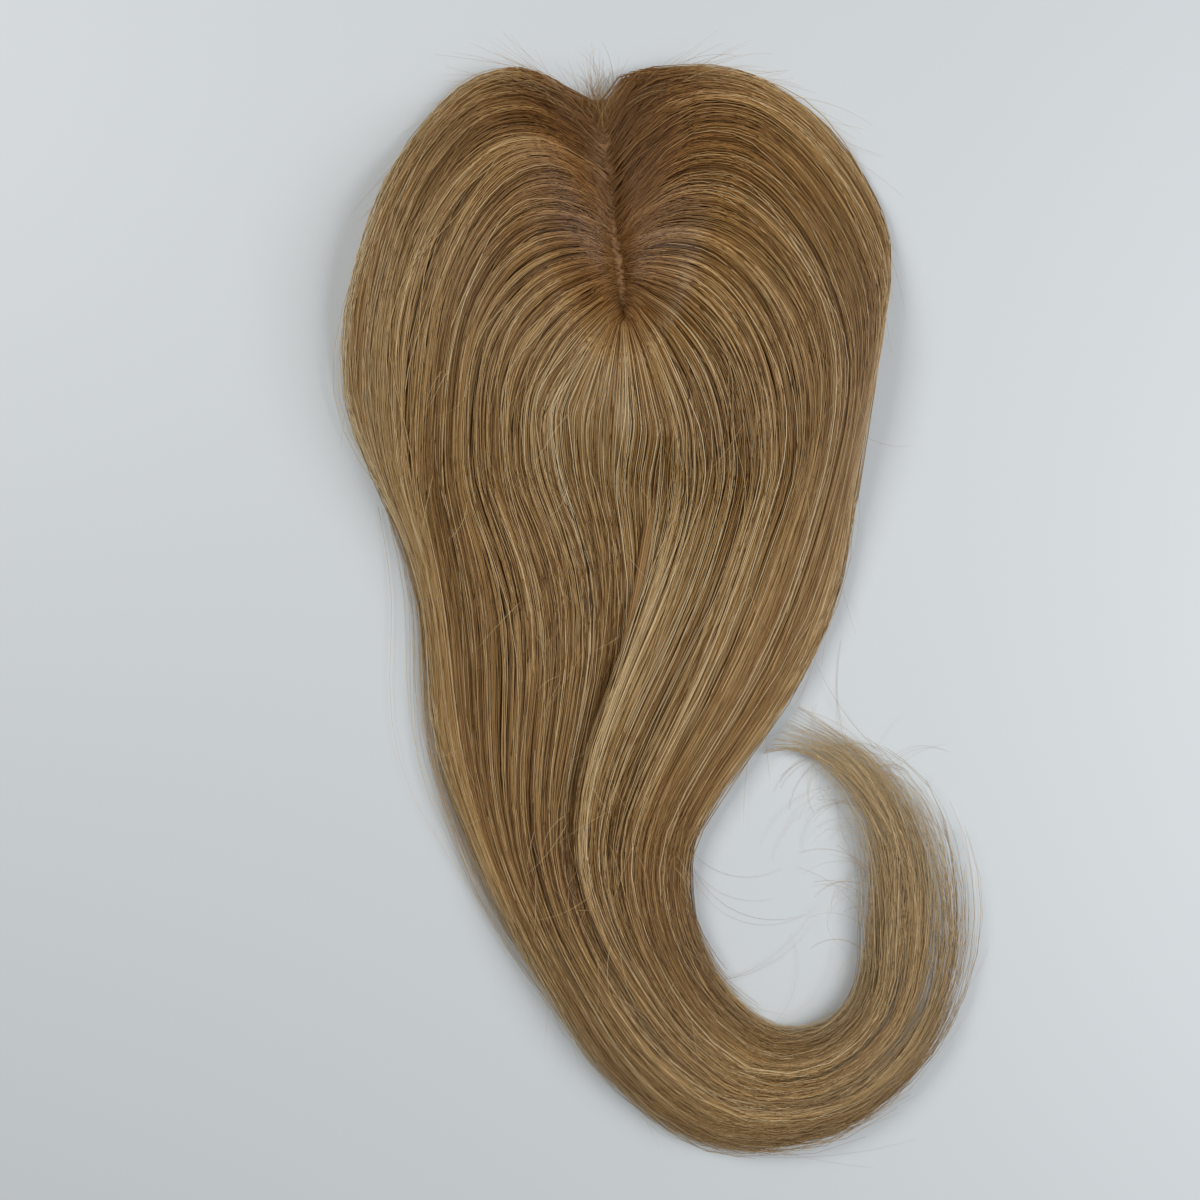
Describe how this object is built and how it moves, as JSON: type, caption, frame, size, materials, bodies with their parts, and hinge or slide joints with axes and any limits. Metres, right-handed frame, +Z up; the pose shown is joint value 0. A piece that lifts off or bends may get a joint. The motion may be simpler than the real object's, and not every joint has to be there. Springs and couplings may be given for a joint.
{
  "type": "hair topper",
  "caption": "Clip-in hair topper lying flat: long dark-blond hair leaves a parting on a domed silk base, falls back and curls into a hooked tail.",
  "frame": {"origin": "middle of the bounding box on the surface it lies on", "axes": "+Y to the forehead side of the parting, +X to the wearer's right, +Z up from the surface it lies on"},
  "size_m": [0.1978, 0.3414, 0.0411],
  "materials": {
    "base_silk": "matt skin-toned silk cloth",
    "clip_steel": "brown lacquered spring steel",
    "hair": "straight dark-blond hair with soft sheen and lighter strands"
  },
  "bodies": {
    "root": {"base_cap": "base_silk", "clip_front": "clip_steel", "clip_back": "clip_steel", "clip_left": "clip_steel", "clip_right": "clip_steel", "hair_left": "hair", "hair_back": "hair", "hair_right": "hair"}
  },
  "joints": []
}
